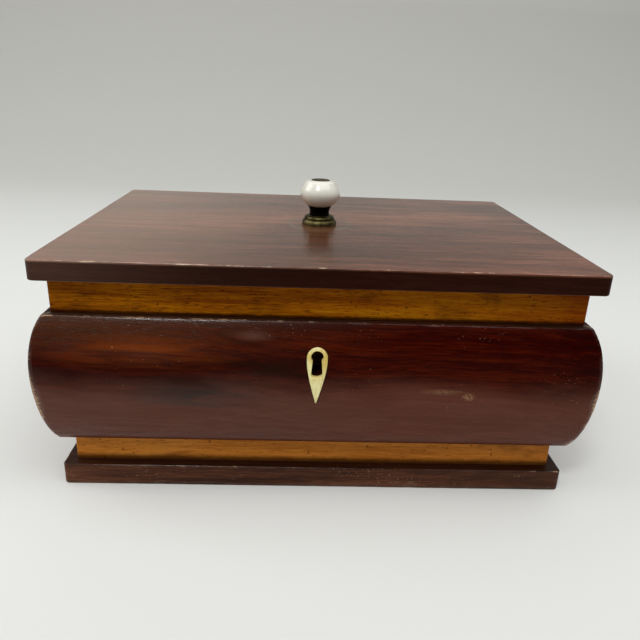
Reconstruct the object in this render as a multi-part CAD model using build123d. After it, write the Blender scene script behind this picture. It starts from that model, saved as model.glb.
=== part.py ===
from build123d import *

import math
import os

# Tea caddy: a softwood carcass dressed with mahogany and satinwood mouldings, a lid hinged at the
# back, two lidded and foil-lined tea compartments and a sliding-bolt box lock.
# Millimetres. X runs along the front, Y towards the back, Z up; origin under the base's centre.

# Heights
BASE_HEIGHT = 13.0
LOWER_FRIEZE_TOP = 30.5
CASE_TOP = 104.5
LID_GAP = 0.3
RIM_BOTTOM = CASE_TOP + LID_GAP
RIM_TOP = 123.8
LID_TOP = 135.0

# Half sizes in plan: the lid board is the reference, the rest is set in from its edge
LID_HALF_X = 150.0
LID_HALF_Y = 108.5
RIM_INSET = 7.5
LOWER_FRIEZE_INSET = 11.5
BASE_INSET = 5.0
FRIEZE_THICKNESS = 3.0
RIM_THICKNESS = 12.0

# Swelled cushion moulding: two quarter-elliptic arcs that meet at the widest height
CUSHION_WIDEST_Z = 73.0
CUSHION_SWELL = 3.8
CUSHION_TOP_INSET = 3.5
CUSHION_BOTTOM_INSET = 4.6
CUSHION_UPPER_RADIUS = 35.0
CUSHION_LOWER_RADIUS = 46.0
CUSHION_ARRIS = 1.3
LEDGE_ARRIS = 0.9

# Softened corners and edges
BOARD_CORNER = 2.5
LID_ARRIS = 1.1
BASE_ARRIS = 1.0
FRIEZE_CORNER = 0.7
INNER_LID_ARRIS = 0.8

# Carcass and fittings of the inside
WALL = 8.0
CARCASS_HALF_X = LID_HALF_X - LOWER_FRIEZE_INSET - FRIEZE_THICKNESS
CARCASS_HALF_Y = LID_HALF_Y - LOWER_FRIEZE_INSET - FRIEZE_THICKNESS
INNER_HALF_X = CARCASS_HALF_X - WALL
INNER_HALF_Y = CARCASS_HALF_Y - WALL
FLOOR_THICKNESS = 6.0
FLOOR_TOP = BASE_HEIGHT + FLOOR_THICKNESS
PARTITION_HALF = 3.0
LINING = 3.0
LINING_TOP = 88.0
FOIL = 0.4
INNER_LID_THICKNESS = 6.0
INNER_LID_TOP = LINING_TOP + INNER_LID_THICKNESS
INNER_LID_GAP = 0.4
INNER_LID_TONGUE = 4.0
TONGUE_GAP = 0.6

# Butt hinges
HINGE_X = 88.0
HINGE_LENGTH = 38.0
HINGE_AXIS_Y = 102.2
HINGE_AXIS_Z = CASE_TOP + LID_GAP / 2
LEAF_FRONT_Y = 90.0
LEAF_THICKNESS = 1.5
BARREL_RADIUS = 2.5
BARREL_CLEARANCE = 0.3
PIN_RADIUS = 1.0
PIN_CLEARANCE = 0.05
KNUCKLE_GAP = 0.2
CASE_KNUCKLE = 12.0
HINGE_SCREW_Y = 92.4
HINGE_SCREW_SPACING = 12.5

# Wood screws: length, shank radius, head radius and height of the head's cone
HINGE_SCREW = (9.0, 0.9, 1.8, 1.4)
LOCK_SCREW = (7.0, 0.8, 1.6, 1.2)
BASE_SCREW = (26.0, 1.6, 3.2, 2.6)
BASE_SCREW_SINK = 0.6
BASE_SCREW_X = (-95.0, 0.0, 95.0)
SCREW_CLEARANCE = 0.05
HEAD_EDGE = 0.2
SLOT_WIDTH = 0.6
SLOT_DEPTH = 0.5

# Box lock, in the middle of the front wall
LOCK_X = -2.0
LOCK_HALF = 28.0
LOCK_BOTTOM = 71.0
LOCK_PLATE = 1.5
LOCK_FRONT_Y = -CARCASS_HALF_Y - 1.5
CAP_HALF = 20.0
CAP_WALL = 1.0
CAP_BOTTOM = 73.0
BACKPLATE_FRONT_Y = -INNER_HALF_Y - LOCK_PLATE
STAPLE_OFFSETS = (-8.0, 8.0)
STAPLE_Y = -91.0
STAPLE_HALF_Y = 2.8
STAPLE_THICKNESS = 2.0
STAPLE_BOTTOM = 96.8
STAPLE_SLOT_GAP = 0.4
EYE_HALF_Y = 1.4
EYE_BOTTOM = 98.4
EYE_TOP = 102.4
LOCK_SCREW_INSET = 4.0
LOCK_SCREW_HEIGHTS = (76.0, 92.0)
LINK_HALF = 22.0
LINK_FRONT_Y = -97.0
LINK_BACK_Y = -89.0

# Lock bolt: a bar with two hooks, measured from the lock's middle and from each staple
BOLT_TRAVEL = 5.0
BOLT_HALF_Y = 0.9
BOLT_LEFT = -17.5
BOLT_RIGHT = 11.0
BOLT_BOTTOM = 90.6
BOLT_BAR_TOP = 96.2
HOOK_LEFT = -9.0
HOOK_STEM_RIGHT = -6.4
HOOK_TIP = -1.6
HOOK_BOTTOM = 99.2
HOOK_TOP = 101.6
TALON_LEFT = -4.6
TALON_RIGHT = -0.4
TALON_DEPTH = 1.3
GUIDE_STUD_RADIUS = 1.0
GUIDE_STUD_OFFSETS = (-5.0, 5.0)
GUIDE_STUD_PLAY = 0.15
SPRING_REACH = 4.0
SPRING_THICKNESS = 0.3
SPRING_HEIGHT = 3.0
SPRING_LIFT = 1.6
SPRING_GAP = 0.1

# Keyhole and its drop-shaped plate
KEYHOLE_Z = 86.75
KEYHOLE_RADIUS = 3.3
KEYHOLE_BOTTOM = 74.8
KEYHOLE_WAIST_HALF = 2.25
KEYHOLE_FOOT_HALF = 3.1
DROP_TOP = 91.9
DROP_TIP = 59.8
DROP_HALF = 5.55
DROP_SHOULDER_Z = 86.2
DROP_BACK_Y = -(LID_HALF_Y + CUSHION_SWELL) + 3.5
DROP_PROUD = 0.15
DROP_FIT = 0.2

# Lid knob
KNOB_Y = -2.0
KNOB_BOLT_RADIUS = 2.0
KNOB_HOLE_RADIUS = 2.15
KNOB_NECK_BOTTOM = 6.0
KNOB_NECK_TOP = 12.0
KNOB_RECESS_Z = 27.6
KNOB_HEIGHT = 29.0
KNOB_BALL_RADIUS = 12.98
KNOB_CAP_RADIUS = 6.05
KNOB_CAP_GAP = 0.1
NUT_SIZE = 8.0
NUT_HEIGHT = 3.0
NUT_CHAMFER = 0.6
BOLT_TAIL = 1.0
WASHER_RADIUS = 6.0
WASHER_THICKNESS = 0.8

SIDES = ("front", "back", "left", "right")


def block(x0, x1, y0, y1, z0, z1):
    """A rectangular block between two corners."""
    size = Box(x1 - x0, y1 - y0, z1 - z0)
    return Pos((x0 + x1) / 2, (y0 + y1) / 2, (z0 + z1) / 2) * size


def board(half_x, half_y, z0, z1, corner, arris):
    """A flat board with rounded corners and softened top and bottom edges."""
    solid = block(-half_x, half_x, -half_y, half_y, z0, z1)
    solid = fillet(solid.edges().filter_by(Axis.Z), corner)
    faces = solid.faces().sort_by(Axis.Z)
    return fillet(faces[0].edges() + faces[-1].edges(), arris)


def rod(radius, start, end):
    """A round rod between two points."""
    axis = Vector(end) - Vector(start)
    plane = Plane(origin=start, z_dir=axis)
    return extrude(plane * Circle(radius), axis.length)


def turned(outline, origin):
    """A piece turned about the vertical axis from its half outline of (radius, height) edges."""
    return Pos(*origin) * revolve(Plane.XZ * make_face(outline), Axis.Z)


def mitre_wedge(side):
    """The prism that holds one side of a rectangular frame, cut at 45 degrees at its corners."""
    reach = 20.0
    x = LID_HALF_X + reach
    y = LID_HALF_Y + reach
    ridge = LID_HALF_X - LID_HALF_Y
    outlines = {
        "front": [(-x, -y), (x, -y), (ridge, 0), (-ridge, 0)],
        "back": [(-x, y), (x, y), (ridge, 0), (-ridge, 0)],
        "left": [(-x, -y), (-x, y), (-ridge, 0)],
        "right": [(x, -y), (x, y), (ridge, 0)],
    }
    face = make_face(Polyline(*outlines[side], close=True))
    return extrude(face, LID_TOP + reach)


def mitred(name, ring):
    """The four mitred sides of a frame, by node name."""
    return {f"{name}_{side}": ring & mitre_wedge(side) for side in SIDES}


def countersunk_screw(length, shank_radius, head_radius, head_height):
    """A slotted screw that points down -Z, with the top of its head at the origin."""
    outline = Polyline(
        (0, 0),
        (head_radius, 0),
        (head_radius, -HEAD_EDGE),
        (shank_radius, -head_height),
        (shank_radius, -length + 2 * shank_radius),
        (0, -length),
        close=True,
    )
    body = revolve(make_face(Plane.XZ * outline), Axis.Z)
    slot = block(-head_radius, head_radius, -SLOT_WIDTH / 2, SLOT_WIDTH / 2, -SLOT_DEPTH, 1)
    return body - slot


def screw_hole(length, shank_radius, head_radius, head_height):
    """The countersunk hole that such a screw fills."""
    gap = SCREW_CLEARANCE
    outline = Polyline(
        (0, 1),
        (head_radius + gap, 1),
        (head_radius + gap, -HEAD_EDGE),
        (shank_radius + gap, -head_height - gap),
        (shank_radius + gap, -length - gap),
        (0, -length - gap),
        close=True,
    )
    return revolve(make_face(Plane.XZ * outline), Axis.Z)


# Cushion moulding

def cushion_section(half):
    """The moulding's whole section across a pair of opposite sides."""
    top = half - CUSHION_TOP_INSET
    bottom = half - CUSHION_BOTTOM_INSET
    widest = half + CUSHION_SWELL
    upper_sine = (CASE_TOP - CUSHION_WIDEST_Z) / CUSHION_UPPER_RADIUS
    lower_sine = (CUSHION_WIDEST_Z - LOWER_FRIEZE_TOP) / CUSHION_LOWER_RADIUS
    upper_angle = math.degrees(math.asin(upper_sine))
    lower_angle = math.degrees(math.asin(lower_sine))
    upper_width = (widest - top) / (1 - math.sqrt(1 - upper_sine ** 2))
    lower_width = (widest - bottom) / (1 - math.sqrt(1 - lower_sine ** 2))
    upper = EllipticalCenterArc(
        (widest - upper_width, CUSHION_WIDEST_Z),
        upper_width,
        CUSHION_UPPER_RADIUS,
        0,
        arc_size=upper_angle,
    )
    lower = EllipticalCenterArc(
        (widest - lower_width, CUSHION_WIDEST_Z),
        lower_width,
        CUSHION_LOWER_RADIUS,
        -lower_angle,
        arc_size=lower_angle,
    )
    top_line = Line((0, CASE_TOP), (top, CASE_TOP))
    bottom_line = Line((0, LOWER_FRIEZE_TOP), (bottom, LOWER_FRIEZE_TOP))
    middle = Line((0, LOWER_FRIEZE_TOP), (0, CASE_TOP))
    half_face = make_face([top_line, upper, lower, bottom_line, middle])
    return half_face + mirror(half_face, Plane.YZ)


def cushion_body():
    """The solid whose outside is the swelled moulding, mitred and with softened arrises."""
    along_y = extrude(Plane.XZ * cushion_section(LID_HALF_X), LID_HALF_Y * 2, both=True)
    along_x = extrude(Plane.YZ * cushion_section(LID_HALF_Y), LID_HALF_X * 2, both=True)
    body = along_y & along_x
    corners = [edge for edge in body.edges() if edge.bounding_box().size.Z > 5]
    body = fillet(corners, CUSHION_ARRIS)
    rims = body.faces().filter_by(Axis.Z).sort_by(Axis.Z)
    return fillet(rims[0].edges() + rims[-1].edges(), LEDGE_ARRIS)


def drop_outline(margin):
    """The escutcheon's drop shape in the plane of the front, grown by a margin."""
    half = DROP_HALF + margin
    tip = 0.4 + margin
    shoulder = (half, DROP_SHOULDER_Z)
    point = (tip, DROP_TIP + 0.4 - margin)
    side = Bezier(shoulder, (half, 78.5), (3.2 + margin, 70.5), point)
    crown = ThreePointArc((0, DROP_TOP + margin), (half * 0.707, DROP_TOP - 1.75 + margin), shoulder)
    foot = ThreePointArc(point, (tip * 0.7, DROP_TIP + 0.1 - margin), (0, DROP_TIP - margin))
    spine = Line((0, DROP_TIP - margin), (0, DROP_TOP + margin))
    half_face = make_face([crown, side, foot, spine])
    return half_face + mirror(half_face, Plane.YZ)


def keyhole_outline():
    """A round hole over a slot that widens downwards."""
    eye = Pos(0, KEYHOLE_Z) * Circle(KEYHOLE_RADIUS)
    waist = KEYHOLE_WAIST_HALF
    foot = KEYHOLE_FOOT_HALF
    foot_z = KEYHOLE_BOTTOM + 1.5
    slot = make_face([
        Line((-waist, KEYHOLE_Z), (-foot, foot_z)),
        ThreePointArc((-foot, foot_z), (0, KEYHOLE_BOTTOM), (foot, foot_z)),
        Line((foot, foot_z), (waist, KEYHOLE_Z)),
        Line((waist, KEYHOLE_Z), (-waist, KEYHOLE_Z)),
    ])
    return eye + slot


def front_prism(outline, y0, y1):
    """An outline of the front, at the lock's middle, as a prism from y0 back to y1."""
    prism = extrude(Plane.XZ * outline, y1 - y0)
    return Pos(LOCK_X, y1, 0) * prism


def cushions(body):
    """The four mitred mouldings round the carcass."""
    inside = block(
        -CARCASS_HALF_X,
        CARCASS_HALF_X,
        -CARCASS_HALF_Y,
        CARCASS_HALF_Y,
        LOWER_FRIEZE_TOP - 1,
        CASE_TOP + 1,
    )
    ring = mitred("cushion", body - inside)
    front_reach = -LID_HALF_Y - 10
    front = ring["cushion_front"]
    front -= front_prism(drop_outline(DROP_FIT), front_reach, DROP_BACK_Y)
    front -= front_prism(keyhole_outline(), front_reach, -CARCASS_HALF_Y)
    front -= lock_recess()
    ring["cushion_front"] = front
    ring["cushion_back"] = ring["cushion_back"] - hinge_recesses("case")
    return ring


def escutcheon(body):
    """Bone plate let into the front moulding, its face following the swell."""
    grown = Pos(0, -DROP_PROUD, 0) * body
    plate = front_prism(drop_outline(0), -LID_HALF_Y - 10, DROP_BACK_Y) & grown
    return plate - front_prism(keyhole_outline(), -LID_HALF_Y - 10, 0)


# Carcass, friezes and boards

def carcass_walls():
    """Front and back run the full length; the side walls stand between them."""
    y = CARCASS_HALF_Y
    x = CARCASS_HALF_X
    walls = {
        "carcass_front": block(-x, x, -y, -INNER_HALF_Y, BASE_HEIGHT, CASE_TOP),
        "carcass_back": block(-x, x, INNER_HALF_Y, y, BASE_HEIGHT, CASE_TOP),
        "carcass_left": block(-x, -INNER_HALF_X, -INNER_HALF_Y, INNER_HALF_Y, BASE_HEIGHT, CASE_TOP),
        "carcass_right": block(INNER_HALF_X, x, -INNER_HALF_Y, INNER_HALF_Y, BASE_HEIGHT, CASE_TOP),
    }
    walls["carcass_front"] -= lock_recess()
    walls["carcass_back"] -= hinge_recesses("case")
    base_holes = base_screw_shapes(screw_hole(*BASE_SCREW))
    return {name: wall - base_holes for name, wall in walls.items()}


def frame_ring(inset, thickness, z0, z1):
    """A rectangular frame set in from the lid's edge, its outer corners barely rounded."""
    x = LID_HALF_X - inset
    y = LID_HALF_Y - inset
    outer = block(-x, x, -y, y, z0, z1)
    outer = fillet(outer.edges().filter_by(Axis.Z), FRIEZE_CORNER)
    inner = block(thickness - x, x - thickness, thickness - y, y - thickness, z0 - 1, z1 + 1)
    return outer - inner


def lower_friezes():
    ring = frame_ring(LOWER_FRIEZE_INSET, FRIEZE_THICKNESS, BASE_HEIGHT, LOWER_FRIEZE_TOP)
    return mitred("lower_frieze", ring)


def upper_friezes():
    """The lid's rim: four mitred sides glued under the lid board."""
    sides = mitred("upper_frieze", frame_ring(RIM_INSET, RIM_THICKNESS, RIM_BOTTOM, RIM_TOP))
    sides["upper_frieze_back"] -= hinge_recesses("lid")
    sides["upper_frieze_front"] -= link_plate_recess()
    return sides


def base_board():
    x = LID_HALF_X - BASE_INSET
    y = LID_HALF_Y - BASE_INSET
    base = board(x, y, 0, BASE_HEIGHT, BOARD_CORNER, BASE_ARRIS)
    return base - base_screw_shapes(screw_hole(*BASE_SCREW))


def lid_board():
    lid = board(LID_HALF_X, LID_HALF_Y, RIM_TOP, LID_TOP, BOARD_CORNER, LID_ARRIS)
    return lid - rod(KNOB_HOLE_RADIUS, (0, KNOB_Y, RIM_TOP - 1), (0, KNOB_Y, LID_TOP + 1))


def base_screw_shapes(shape):
    """A screw or its hole at each place where the base is screwed up into the carcass walls."""
    wall_x = (CARCASS_HALF_X + INNER_HALF_X) / 2
    wall_y = (CARCASS_HALF_Y + INNER_HALF_Y) / 2
    places = [(x, y) for x in BASE_SCREW_X for y in (-wall_y, wall_y)]
    places += [(-wall_x, 0.0), (wall_x, 0.0)]
    return Part() + [Pos(x, y, BASE_SCREW_SINK) * Rot(180, 0, 0) * shape for x, y in places]


def inside_fittings():
    """Floor, partition, lining boards and foil boxes."""
    x = INNER_HALF_X
    y = INNER_HALF_Y
    parts = {
        "bottom_board": block(-x, x, -y, y, BASE_HEIGHT, FLOOR_TOP),
        "partition": block(-PARTITION_HALF, PARTITION_HALF, -y, y, FLOOR_TOP, INNER_LID_TOP),
    }
    for side, sign in (("left", -1), ("right", 1)):
        inner = PARTITION_HALF
        boards = {
            "front": (inner, x, -y, LINING - y),
            "back": (inner, x, y - LINING, y),
            "inner": (inner, inner + LINING, LINING - y, y - LINING),
            "outer": (x - LINING, x, LINING - y, y - LINING),
        }
        for place, (near, far, y0, y1) in boards.items():
            x0, x1 = sorted((sign * near, sign * far))
            parts[f"lining_{side}_{place}"] = block(x0, x1, y0, y1, FLOOR_TOP, LINING_TOP)
        parts[f"tea_liner_{side}"] = tea_liner(sign)
    return parts


def compartment(sign, margin, z0, z1):
    """The room between a compartment's lining boards, shrunk by a margin on each side."""
    near = PARTITION_HALF + LINING + margin
    far = INNER_HALF_X - LINING - margin
    x0, x1 = sorted((sign * near, sign * far))
    y = INNER_HALF_Y - LINING - margin
    return block(x0, x1, -y, y, z0, z1)


def tea_liner(sign):
    """Thin foil box that lines a compartment, open at the top."""
    outer = compartment(sign, 0, FLOOR_TOP, LINING_TOP - INNER_LID_TONGUE - 1)
    return outer - compartment(sign, FOIL, FLOOR_TOP + FOIL, LINING_TOP)


def inner_lids():
    """Loose lids that sit on the linings, each with a tongue below and a turned knob."""
    parts = {}
    for side, sign in (("left", -1), ("right", 1)):
        near = PARTITION_HALF + INNER_LID_GAP
        far = INNER_HALF_X - INNER_LID_GAP
        x0, x1 = sorted((sign * near, sign * far))
        y = INNER_HALF_Y - INNER_LID_GAP
        top = block(x0, x1, -y, y, LINING_TOP, INNER_LID_TOP)
        top = fillet(top.faces().sort_by(Axis.Z)[-1].edges(), INNER_LID_ARRIS)
        tongue = compartment(sign, FOIL + TONGUE_GAP, LINING_TOP - INNER_LID_TONGUE, LINING_TOP)
        middle = ((x0 + x1) / 2, 0, INNER_LID_TOP)
        socket = Pos(*middle) * Cylinder(2.0, 8.0)
        parts[f"inner_lid_{side}"] = top + tongue - socket
        parts[f"inner_knob_{side}"] = inner_knob(middle)
    return parts


def inner_knob(origin):
    """Small turned bone knob with a tenon glued into the inner lid."""
    outline = [
        Line((0, -4.0), (2.0, -4.0)),
        Line((2.0, -4.0), (2.0, 0)),
        Line((2.0, 0), (5.0, 0)),
        ThreePointArc((5.0, 0), (4.9, 0.9), (4.0, 1.3)),
        ThreePointArc((4.0, 1.3), (2.3, 2.0), (2.3, 3.6)),
        ThreePointArc((2.3, 3.6), (4.4, 6.0), (2.2, 8.5)),
        ThreePointArc((2.2, 8.5), (1.2, 8.9), (0.4, 9.0)),
        Line((0.4, 9.0), (0, 9.0)),
        Line((0, 9.0), (0, -4.0)),
    ]
    return turned(outline, origin)


# Hinges

def hinge_centres():
    return {"left": -HINGE_X, "right": HINGE_X}


def hinge_screw_places(x):
    return [x + step * HINGE_SCREW_SPACING for step in (-1, 0, 1)]


def hinge_recesses(body):
    """What the hinges take out of the case's or the lid's woodwork."""
    gap = BARREL_CLEARANCE
    radius = BARREL_RADIUS + gap
    cut = Part()
    for x in hinge_centres().values():
        x0 = x - HINGE_LENGTH / 2
        x1 = x + HINGE_LENGTH / 2
        barrel = hinge_rod(radius, x0 - gap, x1 + gap)
        if body == "case":
            seat = block(x0, x1, LEAF_FRONT_Y, HINGE_AXIS_Y, CASE_TOP - LEAF_THICKNESS, CASE_TOP + 1)
            way_out = block(
                x0 - gap,
                x1 + gap,
                HINGE_AXIS_Y,
                LID_HALF_Y,
                CASE_TOP - LEAF_THICKNESS,
                CASE_TOP + 1,
            )
            cut += [barrel, seat, way_out]
        else:
            seat = block(x0, x1, LEAF_FRONT_Y, HINGE_AXIS_Y, RIM_BOTTOM - 1, RIM_BOTTOM + LEAF_THICKNESS)
            cut += [barrel, seat]
        cut += hinge_screws(x, body, screw_hole(*HINGE_SCREW))
    return cut


def hinge_screws(x, body, shape):
    """Three screws or their holes, down into the case or up into the lid."""
    if body == "case":
        return [Pos(place, HINGE_SCREW_Y, CASE_TOP) * shape for place in hinge_screw_places(x)]
    turned_up = Rot(180, 0, 0) * shape
    return [Pos(place, HINGE_SCREW_Y, RIM_BOTTOM) * turned_up for place in hinge_screw_places(x)]


def hinge_rod(radius, x0, x1):
    """A round rod along the hinge axis."""
    return rod(radius, (x0, HINGE_AXIS_Y, HINGE_AXIS_Z), (x1, HINGE_AXIS_Y, HINGE_AXIS_Z))


def hinge_leaf(x, body):
    """A leaf with its knuckles: the case leaf has the outer two and the lid leaf the middle one."""
    x0 = x - HINGE_LENGTH / 2
    x1 = x + HINGE_LENGTH / 2
    clear_y = HINGE_AXIS_Y - BARREL_RADIUS - BARREL_CLEARANCE
    if body == "case":
        z0, z1 = CASE_TOP - LEAF_THICKNESS, CASE_TOP
        spans = [(x0, x0 + CASE_KNUCKLE), (x1 - CASE_KNUCKLE, x1)]
        bore = PIN_RADIUS
    else:
        z0, z1 = RIM_BOTTOM, RIM_BOTTOM + LEAF_THICKNESS
        inset = CASE_KNUCKLE + KNUCKLE_GAP
        spans = [(x0 + inset, x1 - inset)]
        bore = PIN_RADIUS + PIN_CLEARANCE
    leaf = block(x0, x1, LEAF_FRONT_Y, clear_y, z0, z1)
    for near, far in spans:
        leaf += block(near, far, clear_y - 1, HINGE_AXIS_Y, z0, z1)
        leaf += hinge_rod(BARREL_RADIUS, near, far)
    leaf -= hinge_rod(bore, x0 - 1, x1 + 1)
    return leaf - hinge_screws(x, body, screw_hole(*HINGE_SCREW))


def hinges():
    """Two brass butts let in flush, with their pins and screws."""
    parts = {}
    screws = {"case": Part(), "lid": Part()}
    for side, x in hinge_centres().items():
        end = HINGE_LENGTH / 2
        parts[f"hinge_{side}_case_leaf"] = hinge_leaf(x, "case")
        parts[f"hinge_{side}_lid_leaf"] = hinge_leaf(x, "lid")
        parts[f"hinge_{side}_pin"] = hinge_rod(PIN_RADIUS, x - end, x + end)
        for body in screws:
            screws[body] += hinge_screws(x, body, countersunk_screw(*HINGE_SCREW))
    parts["hinge_case_screws"] = screws["case"]
    parts["hinge_lid_screws"] = screws["lid"]
    return parts


# Lock

def lock_block(x0, x1, y0, y1, z0, z1):
    """A block placed from the lock's middle."""
    return block(LOCK_X + x0, LOCK_X + x1, y0, y1, z0, z1)


def lock_screw_shapes(shape):
    """Four screws or their holes through the back plate and two through the top plate."""
    reach = LOCK_HALF - LOCK_SCREW_INSET
    back = Pos(0, -INNER_HALF_Y, 0) * Rot(-90, 0, 0) * shape
    places = [Pos(LOCK_X + x, 0, z) * back for x in (-reach, reach) for z in LOCK_SCREW_HEIGHTS]
    places += [Pos(LOCK_X + x, STAPLE_Y, CASE_TOP) * shape for x in (-reach, reach)]
    return Part() + places


def lock_recess():
    """The mortise for the lock in the front wall and behind the front moulding."""
    plate = lock_block(
        -LOCK_HALF, LOCK_HALF, BACKPLATE_FRONT_Y, 1 - INNER_HALF_Y, LOCK_BOTTOM, CASE_TOP + 1
    )
    top = lock_block(
        -LOCK_HALF, LOCK_HALF, LOCK_FRONT_Y, BACKPLATE_FRONT_Y + 1, CASE_TOP - LOCK_PLATE, CASE_TOP + 1
    )
    case = lock_block(-CAP_HALF, CAP_HALF, LOCK_FRONT_Y, BACKPLATE_FRONT_Y + 1, CAP_BOTTOM, CASE_TOP)
    return plate + top + case + lock_screw_shapes(screw_hole(*LOCK_SCREW))


def lock_plate():
    """Bent brass plate: the back plate in the case and the top plate with two staple slots."""
    back = lock_block(
        -LOCK_HALF, LOCK_HALF, BACKPLATE_FRONT_Y, -INNER_HALF_Y, LOCK_BOTTOM, CASE_TOP
    )
    top = lock_block(
        -LOCK_HALF, LOCK_HALF, LOCK_FRONT_Y, -INNER_HALF_Y, CASE_TOP - LOCK_PLATE, CASE_TOP
    )
    plate = back + top
    gap = STAPLE_SLOT_GAP
    for x in STAPLE_OFFSETS:
        plate -= lock_block(
            x - STAPLE_THICKNESS / 2 - gap,
            x + STAPLE_THICKNESS / 2 + gap,
            STAPLE_Y - STAPLE_HALF_Y - gap,
            STAPLE_Y + STAPLE_HALF_Y + gap,
            CASE_TOP - LOCK_PLATE - 1,
            CASE_TOP + 1,
        )
    return plate - lock_screw_shapes(screw_hole(*LOCK_SCREW))


def lock_cap():
    """Shallow brass box that closes the works, pierced by the keyhole."""
    top = CASE_TOP - LOCK_PLATE
    outer = lock_block(-CAP_HALF, CAP_HALF, LOCK_FRONT_Y, BACKPLATE_FRONT_Y, CAP_BOTTOM, top)
    inner = lock_block(
        CAP_WALL - CAP_HALF,
        CAP_HALF - CAP_WALL,
        LOCK_FRONT_Y + CAP_WALL,
        BACKPLATE_FRONT_Y + 1,
        CAP_BOTTOM + CAP_WALL,
        top + 1,
    )
    keyhole = front_prism(keyhole_outline(), LOCK_FRONT_Y - 1, LOCK_FRONT_Y + CAP_WALL + 1)
    return outer - inner - keyhole


def lock_studs():
    """Drill pin for the key and the two studs that guide the bolt, riveted to the back plate."""
    front = LOCK_FRONT_Y + CAP_WALL
    guide_z = (BOLT_BOTTOM + BOLT_BAR_TOP) / 2
    pin = rod(PIN_RADIUS, (LOCK_X, BACKPLATE_FRONT_Y, KEYHOLE_Z), (LOCK_X, LOCK_FRONT_Y, KEYHOLE_Z))
    guides = [
        rod(GUIDE_STUD_RADIUS, (LOCK_X + x, BACKPLATE_FRONT_Y, guide_z), (LOCK_X + x, front, guide_z))
        for x in GUIDE_STUD_OFFSETS
    ]
    return Part() + [pin] + guides


def lock_bolt():
    """Sliding bar with two hooks that pass through the lid's staples when it moves along +X."""
    y0 = STAPLE_Y - BOLT_HALF_Y
    y1 = STAPLE_Y + BOLT_HALF_Y
    guide_z = (BOLT_BOTTOM + BOLT_BAR_TOP) / 2
    bolt = lock_block(BOLT_LEFT, BOLT_RIGHT, y0, y1, BOLT_BOTTOM, BOLT_BAR_TOP)
    for x in STAPLE_OFFSETS:
        bolt += lock_block(x + HOOK_LEFT, x + HOOK_STEM_RIGHT, y0, y1, BOLT_BAR_TOP - 1, HOOK_TOP)
        bolt += lock_block(x + HOOK_LEFT, x + HOOK_TIP, y0, y1, HOOK_BOTTOM, HOOK_TOP)
    radius = GUIDE_STUD_RADIUS + GUIDE_STUD_PLAY
    for x in GUIDE_STUD_OFFSETS:
        bolt -= lock_block(x - BOLT_TRAVEL, x, y0 - 1, y1 + 1, guide_z - radius, guide_z + radius)
        for end in (x - BOLT_TRAVEL, x):
            bolt -= rod(radius, (LOCK_X + end, y0 - 1, guide_z), (LOCK_X + end, y1 + 1, guide_z))
    talon_top = BOLT_BOTTOM + TALON_DEPTH
    return bolt - lock_block(TALON_LEFT, TALON_RIGHT, y0 - 1, y1 + 1, BOLT_BOTTOM - 1, talon_top)


def lock_spring():
    """Bowed steel strip between the back plate and the bolt, which keeps the bolt where it is put."""
    outer_x = SPRING_REACH
    inner_x = SPRING_REACH - SPRING_THICKNESS
    foot_y = BACKPLATE_FRONT_Y
    crest_y = STAPLE_Y + BOLT_HALF_Y + SPRING_GAP
    bow = make_face([
        ThreePointArc((-outer_x, foot_y), (0, crest_y), (outer_x, foot_y)),
        ThreePointArc((-inner_x, foot_y), (0, crest_y + SPRING_THICKNESS), (inner_x, foot_y)),
        Line((-outer_x, foot_y), (-inner_x, foot_y)),
        Line((inner_x, foot_y), (outer_x, foot_y)),
    ])
    return Pos(LOCK_X, 0, BOLT_BOTTOM + SPRING_LIFT) * extrude(bow, SPRING_HEIGHT)


def staple(x):
    """Square eye that hangs from the link plate into the lock."""
    outer = lock_block(
        x - STAPLE_THICKNESS / 2,
        x + STAPLE_THICKNESS / 2,
        STAPLE_Y - STAPLE_HALF_Y,
        STAPLE_Y + STAPLE_HALF_Y,
        STAPLE_BOTTOM,
        RIM_BOTTOM,
    )
    window = lock_block(
        x - STAPLE_THICKNESS,
        x + STAPLE_THICKNESS,
        STAPLE_Y - EYE_HALF_Y,
        STAPLE_Y + EYE_HALF_Y,
        EYE_BOTTOM,
        EYE_TOP,
    )
    return outer - window


def link_screw_shapes(shape):
    """Two screws or their holes, up into the lid's rim."""
    middle = (LINK_FRONT_Y + LINK_BACK_Y) / 2
    reach = LINK_HALF - LOCK_SCREW_INSET
    places = (LOCK_X - reach, LOCK_X + reach)
    return Part() + [Pos(x, middle, RIM_BOTTOM) * Rot(180, 0, 0) * shape for x in places]


def link_plate_recess():
    """The shallow seat for the link plate in the underside of the rim."""
    seat = lock_block(
        -LINK_HALF, LINK_HALF, LINK_FRONT_Y, LINK_BACK_Y + 1, RIM_BOTTOM - 1, RIM_BOTTOM + LOCK_PLATE
    )
    return seat + link_screw_shapes(screw_hole(*LOCK_SCREW))


def link_plate():
    """Brass plate let into the lid's rim, with the two staples that the bolt hooks."""
    plate = lock_block(
        -LINK_HALF, LINK_HALF, LINK_FRONT_Y, LINK_BACK_Y, RIM_BOTTOM, RIM_BOTTOM + LOCK_PLATE
    )
    plate += [staple(x) for x in STAPLE_OFFSETS]
    return plate - link_screw_shapes(screw_hole(*LOCK_SCREW))


def lock():
    return {
        "lock_plate": lock_plate(),
        "lock_cap": lock_cap(),
        "lock_studs": lock_studs(),
        "lock_spring": lock_spring(),
        "lock_bolt": lock_bolt(),
        "lock_screws": lock_screw_shapes(countersunk_screw(*LOCK_SCREW)),
        "link_plate": link_plate(),
        "link_plate_screws": link_screw_shapes(countersunk_screw(*LOCK_SCREW)),
    }


# Lid knob

def knob_ring(outline):
    """A turned knob piece bored for the through bolt, standing on the lid."""
    piece = turned(outline, (0, KNOB_Y, LID_TOP))
    return piece - rod(KNOB_BOLT_RADIUS, (0, KNOB_Y, LID_TOP - 1), (0, KNOB_Y, LID_TOP + KNOB_HEIGHT))


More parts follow.
